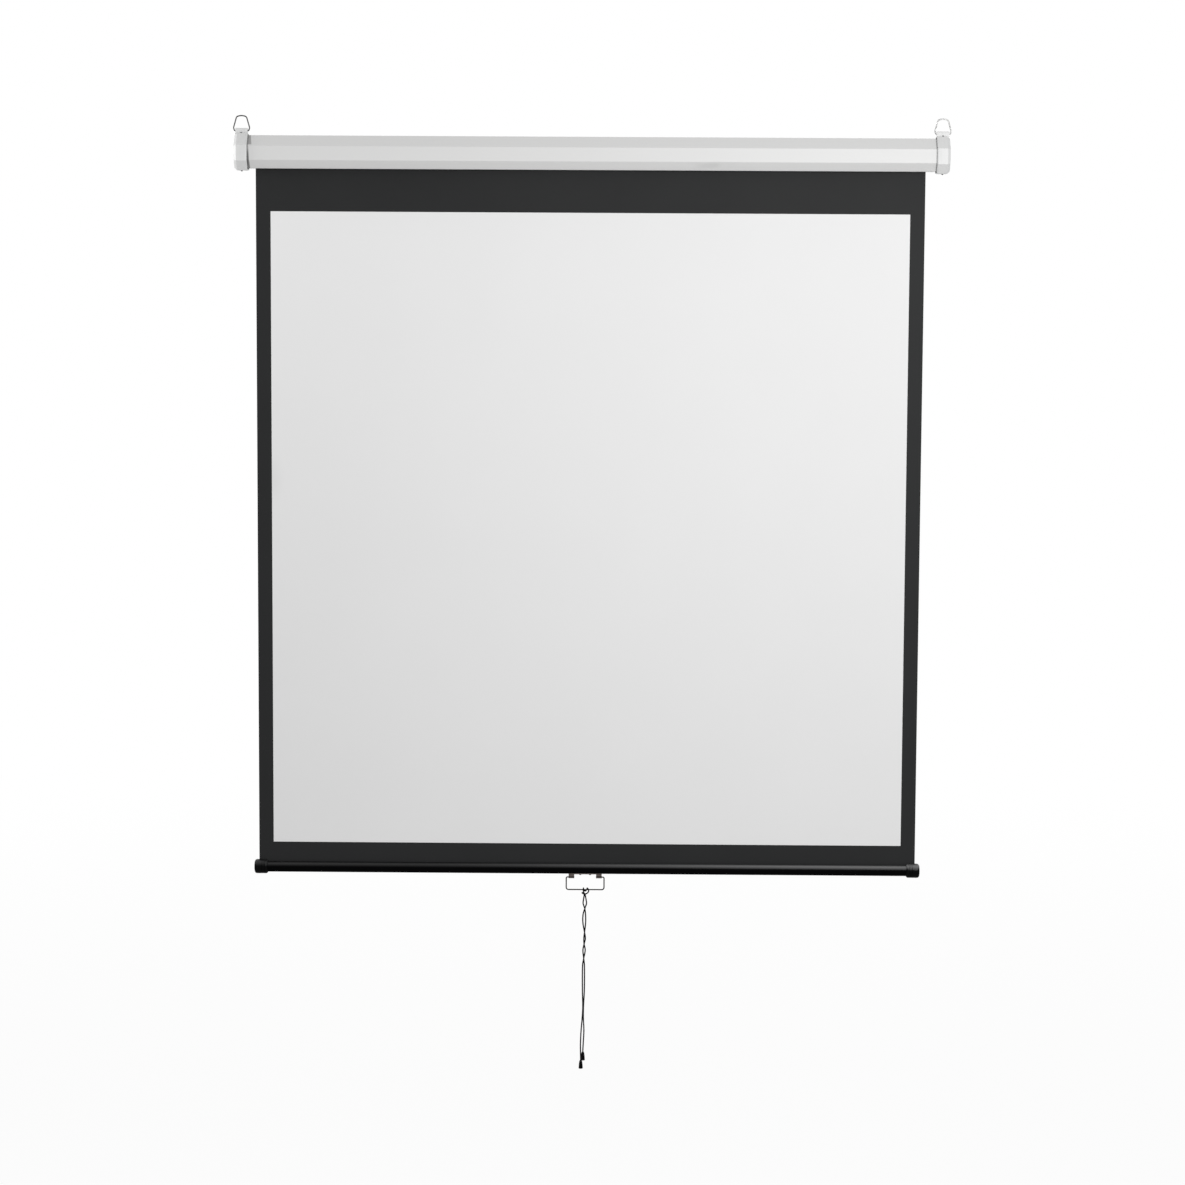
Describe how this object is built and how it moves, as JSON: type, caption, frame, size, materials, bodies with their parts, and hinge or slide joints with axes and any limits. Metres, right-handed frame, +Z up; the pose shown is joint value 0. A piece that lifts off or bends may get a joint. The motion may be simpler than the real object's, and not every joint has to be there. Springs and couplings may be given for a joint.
{
  "type": "projector screen",
  "caption": "Wall-hung pull-down projector screen: faceted steel case, end caps with hanging rings, square white surface with black borders, round weight bar, wire handle, pull cord.",
  "frame": {"origin": "midway between the inner tops of the two hanging rings, on the line of the hooks that carry the screen", "axes": "+Z up, -Y towards the viewer, +X to the viewer's right"},
  "size_m": [1.7052, 0.086, 2.3097],
  "materials": {
    "white_painted_steel": "satin white paint on rolled steel sheet",
    "white_plastic": "moulded white plastic, satin",
    "zinc_plated_steel": "bright zinc plate",
    "spring_steel": "oiled spring wire",
    "ring_wire": "plated steel wire",
    "dark_wire": "dark plated steel wire",
    "bracket_steel": "bare pressed steel",
    "grey_plastic": "moulded grey plastic",
    "black_cloth": "black coated cloth, matte",
    "matt_white": "matt white vinyl viewing surface",
    "black_gloss": "gloss black paint on steel tube",
    "black_plastic": "moulded black plastic",
    "black_cord": "braided black cord"
  },
  "bodies": {
    "case": {"case_housing": "white_painted_steel", "end_cap_left": "white_plastic", "end_cap_right": "white_plastic", "bearing_plate_left": "zinc_plated_steel", "bearing_plate_right": "zinc_plated_steel", "cap_screw_top_left": "zinc_plated_steel", "cap_screw_bottom_left": "zinc_plated_steel", "cap_screw_top_right": "zinc_plated_steel", "cap_screw_bottom_right": "zinc_plated_steel", "spear_axle": "zinc_plated_steel", "torsion_spring": "spring_steel", "idle_bush": "grey_plastic"},
    "roller": {"roller_tube": "zinc_plated_steel", "idle_plug": "grey_plastic", "idle_pin": "zinc_plated_steel", "lock_plug": "grey_plastic", "spring_anchor": "grey_plastic", "fabric_wraps": "black_cloth"},
    "pawl_upper": {"pawl_upper": "zinc_plated_steel"},
    "pawl_lower": {"pawl_lower": "zinc_plated_steel"},
    "bar": {"screen_fabric": "black_cloth", "viewing_surface": "matt_white", "weight_bar": "black_gloss", "hem_rod": "zinc_plated_steel", "hem_sleeve": "black_cloth", "bar_cap_left": "black_plastic", "bar_cap_right": "black_plastic", "handle_bracket": "bracket_steel", "bracket_rivet_left": "bracket_steel", "bracket_rivet_right": "bracket_steel"},
    "handle": {"handle_bail": "dark_wire"},
    "cord": {"cord_hitch": "black_cord", "cord_strand_short": "black_cord", "cord_strand_long": "black_cord", "bell_short": "black_plastic", "bell_long": "black_plastic"},
    "ring_left": {"d_ring_left": "ring_wire"},
    "ring_right": {"d_ring_right": "ring_wire"}
  },
  "joints": [
    {"name": "bar_slide", "type": "slide", "parent": "case", "child": "bar", "axis": [0, 0, 1], "range_m": [0, 1.6677], "deforming": ["screen_fabric", "viewing_surface"]},
    {"name": "roller_spin", "type": "hinge", "parent": "case", "child": "roller", "pos_m": [-0.0035, -0.008, -0.0837], "axis": [1, 0, 0], "range_deg": [0, 4682]},
    {"name": "pawl_upper_drop", "type": "hinge", "parent": "roller", "child": "pawl_upper", "pos_m": [-0.0035, -0.015, -0.0715], "axis": [-1, 0, 0], "range_deg": [0, 15]},
    {"name": "pawl_lower_drop", "type": "hinge", "parent": "roller", "child": "pawl_lower", "pos_m": [-0.0035, -0.001, -0.0959], "axis": [-1, 0, 0], "range_deg": [0, 15]},
    {"name": "handle_swing", "type": "hinge", "parent": "bar", "child": "handle", "pos_m": [-0.0072, 0.01213, -1.83005], "axis": [1, 0, 0], "range_deg": [-120, 120]},
    {"name": "cord_swing", "type": "hinge", "parent": "handle", "child": "cord", "pos_m": [-0.0072, 0.01213, -1.86105], "axis": [1, 0, 0], "range_deg": [-120, 120]},
    {"name": "ring_left_swing", "type": "hinge", "parent": "case", "child": "ring_left", "pos_m": [-0.8321, 0, -0.034], "axis": [1, 0, 0], "range_deg": [-105, 105]},
    {"name": "ring_right_swing", "type": "hinge", "parent": "case", "child": "ring_right", "pos_m": [0.8321, 0, -0.034], "axis": [1, 0, 0], "range_deg": [-105, 105]}
  ],
  "couplings": [
    {"joint": "roller_spin", "follows": "bar_slide", "rad_per_m": 48.978},
    {"joint": "cord_swing", "follows": "handle_swing", "ratio": -1}
  ]
}
